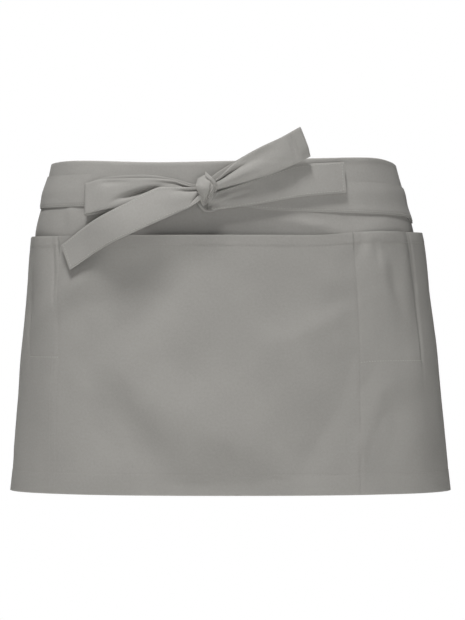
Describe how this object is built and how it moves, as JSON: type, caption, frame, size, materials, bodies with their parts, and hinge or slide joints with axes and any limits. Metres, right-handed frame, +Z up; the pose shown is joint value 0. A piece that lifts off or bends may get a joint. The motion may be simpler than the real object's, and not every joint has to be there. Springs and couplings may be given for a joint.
{
  "type": "short waist apron",
  "caption": "Short wraparound waist apron in plain grey twill with a wide front pocket panel, side pockets and long ties in a front bow, in its worn form.",
  "frame": {"origin": "middle of the waist at half the height of the waistband, where the apron is worn", "axes": "+Z up; -Y to the front, where the bow and pockets are; +X to the right as seen from the front"},
  "size_m": [0.4388, 0.2495, 0.3563],
  "materials": {
    "twill_panel": "matt cotton and polyester twill",
    "twill_tie": "matt twill, folded and stitched along the edge"
  },
  "bodies": {
    "root": {"skirt_panel": "twill_panel", "waistband": "twill_tie", "pocket_panel": "twill_panel", "tie_left": "twill_tie", "tie_right": "twill_tie", "bow_knot": "twill_tie", "bow_loop_left": "twill_tie", "bow_loop_right": "twill_tie", "bow_tail_left": "twill_tie", "bow_tail_right": "twill_tie"}
  },
  "joints": []
}
